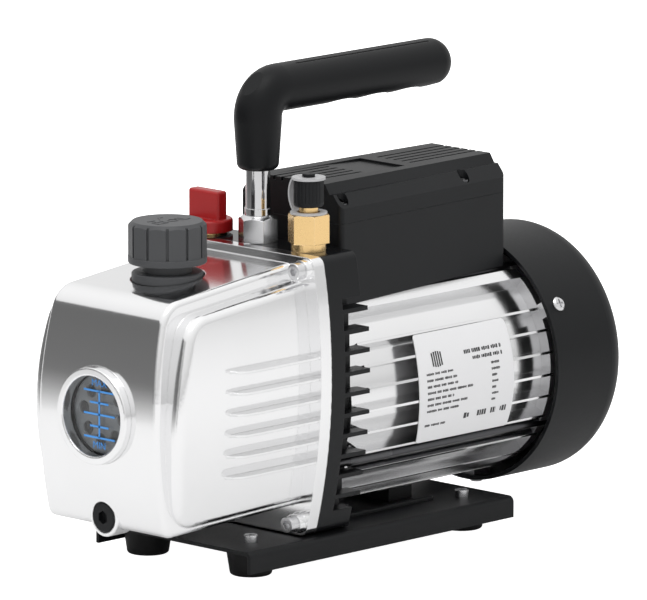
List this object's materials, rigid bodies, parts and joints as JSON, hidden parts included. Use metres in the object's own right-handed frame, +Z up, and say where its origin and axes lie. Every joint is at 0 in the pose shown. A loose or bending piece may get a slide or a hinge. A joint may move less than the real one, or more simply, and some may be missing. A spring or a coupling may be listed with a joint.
{
  "type": "rotary vane vacuum pump",
  "caption": "Portable two-stage rotary vane vacuum pump with sight glass, filler cap, gas ballast knob, flare inlet, finned motor and carrying handle.",
  "frame": {"origin": "middle of the bounding box on the floor, under the feet", "axes": "+X along the shaft from the sight glass to the fan cover, +Y to the gas ballast side, +Z up"},
  "size_m": [0.328, 0.132, 0.2505],
  "materials": {
    "black_powder_coat": "satin",
    "black_rubber": "matte",
    "zinc_steel": "satin",
    "polished_aluminium": "polished",
    "cast_aluminium": "satin",
    "gasket_fibre": "matte",
    "clear_glass": "clear",
    "grey_plastic": "satin",
    "black_plastic": "satin",
    "tether_plastic": "matte",
    "red_plastic": "semi-gloss",
    "chrome": "mirror",
    "brass": "satin",
    "cast_iron": "machined",
    "steel": "ground",
    "vane_composite": "matte",
    "spider_rubber": "matte",
    "lamination_steel": "matte",
    "copper_winding": "varnished",
    "black_steel": "black oxide",
    "label_white": "satin"
  },
  "bodies": {
    "pump": {"base_plate": "black_powder_coat", "rubber_feet": "black_rubber", "foot_screws": "zinc_steel", "base_bolts": "black_steel", "motor_foot": "black_rubber", "oil_casing": "polished_aluminium", "casing_gasket": "gasket_fibre", "casing_screws": "zinc_steel", "casing_seals": "black_rubber", "sight_glass_ring": "polished_aluminium", "sight_glass_lens": "clear_glass", "oil_baffle": "cast_aluminium", "filler_neck": "grey_plastic", "pump_bracket": "black_powder_coat", "shaft_seal": "black_rubber", "handle_rod": "chrome", "handle_nut": "chrome", "handle_grip": "black_rubber", "inlet_fitting": "brass", "ballast_seat": "brass", "module_plates": "cast_iron", "pump_stators": "cast_iron", "module_screws": "black_steel", "exhaust_valve": "steel", "motor_housing": "polished_aluminium", "stator_core": "lamination_steel", "stator_windings": "copper_winding", "front_end_bell": "cast_aluminium", "rear_end_bell": "cast_aluminium", "bearing_outer_rings": "steel", "tie_rods": "black_steel", "fan_cover": "black_powder_coat", "fan_cover_screws": "zinc_steel", "rating_plate": "label_white", "terminal_box": "black_plastic", "terminal_box_lid": "black_plastic", "lid_screws": "black_steel", "run_capacitor": "cast_aluminium", "power_inlet": "black_plastic", "inlet_pins": "steel", "switch_frame": "black_plastic"},
    "rotor": {"motor_shaft": "steel", "rotor_core": "lamination_steel", "bearing_inner_rings": "steel", "bearing_balls": "steel", "cooling_fan": "black_plastic", "coupling_hubs": "cast_aluminium", "coupling_spider": "spider_rubber", "pump_rotors": "steel", "pump_shaft": "steel", "rotor_vanes": "vane_composite"},
    "filler_cap_seal": {"filler_cap_seal": "black_rubber"},
    "filler_cap": {"filler_cap": "grey_plastic"},
    "cap_tether": {"cap_tether": "tether_plastic"},
    "inlet_cap": {"inlet_cap": "black_plastic"},
    "ballast_stem": {"ballast_stem": "brass"},
    "ballast_knob": {"ballast_knob": "red_plastic"},
    "drain_plug_seal": {"drain_plug_seal": "black_rubber"},
    "drain_plug": {"drain_plug": "black_plastic"},
    "rocker_button": {"rocker_button": "black_plastic"}
  },
  "joints": [
    {"name": "rotor_spin", "type": "hinge", "parent": "pump", "child": "rotor", "pos_m": [0, 0, 0.08], "axis": [1, 0, 0], "continuous": true},
    {"name": "filler_cap_lift", "type": "slide", "parent": "pump", "child": "filler_cap_seal", "axis": [0, 0, 1], "range_m": [0, 0.04]},
    {"name": "filler_cap_turn", "type": "hinge", "parent": "filler_cap_seal", "child": "filler_cap", "pos_m": [-0.1095, 0, 0.165], "axis": [0, 0, 1], "range_deg": [0, 720]},
    {"name": "inlet_cap_lift", "type": "slide", "parent": "pump", "child": "cap_tether", "axis": [0, 0, 1], "range_m": [0, 0.04]},
    {"name": "inlet_cap_turn", "type": "hinge", "parent": "cap_tether", "child": "inlet_cap", "pos_m": [-0.0445, -0.036, 0.19], "axis": [0, 0, 1], "range_deg": [0, 1440]},
    {"name": "ballast_turn", "type": "hinge", "parent": "pump", "child": "ballast_knob", "pos_m": [-0.0445, 0.036, 0.162], "axis": [0, 0, 1], "range_deg": [0, 180]},
    {"name": "ballast_stem_lift", "type": "slide", "parent": "pump", "child": "ballast_stem", "axis": [0, 0, 1], "range_m": [0, 0.00151]},
    {"name": "drain_plug_out", "type": "slide", "parent": "pump", "child": "drain_plug_seal", "axis": [-1, 0, 0], "range_m": [0, 0.012]},
    {"name": "drain_plug_turn", "type": "hinge", "parent": "drain_plug_seal", "child": "drain_plug", "pos_m": [-0.155, 0, 0.034], "axis": [-1, 0, 0], "range_deg": [0, 2880]},
    {"name": "power_rocker", "type": "hinge", "parent": "pump", "child": "rocker_button", "pos_m": [0.1046, 0.0175, 0.1584], "axis": [0, 1, 0], "range_deg": [0, 20]}
  ],
  "couplings": [
    {"joint": "ballast_stem_lift", "follows": "ballast_turn", "m_per_rad": 0.00047746}
  ]
}
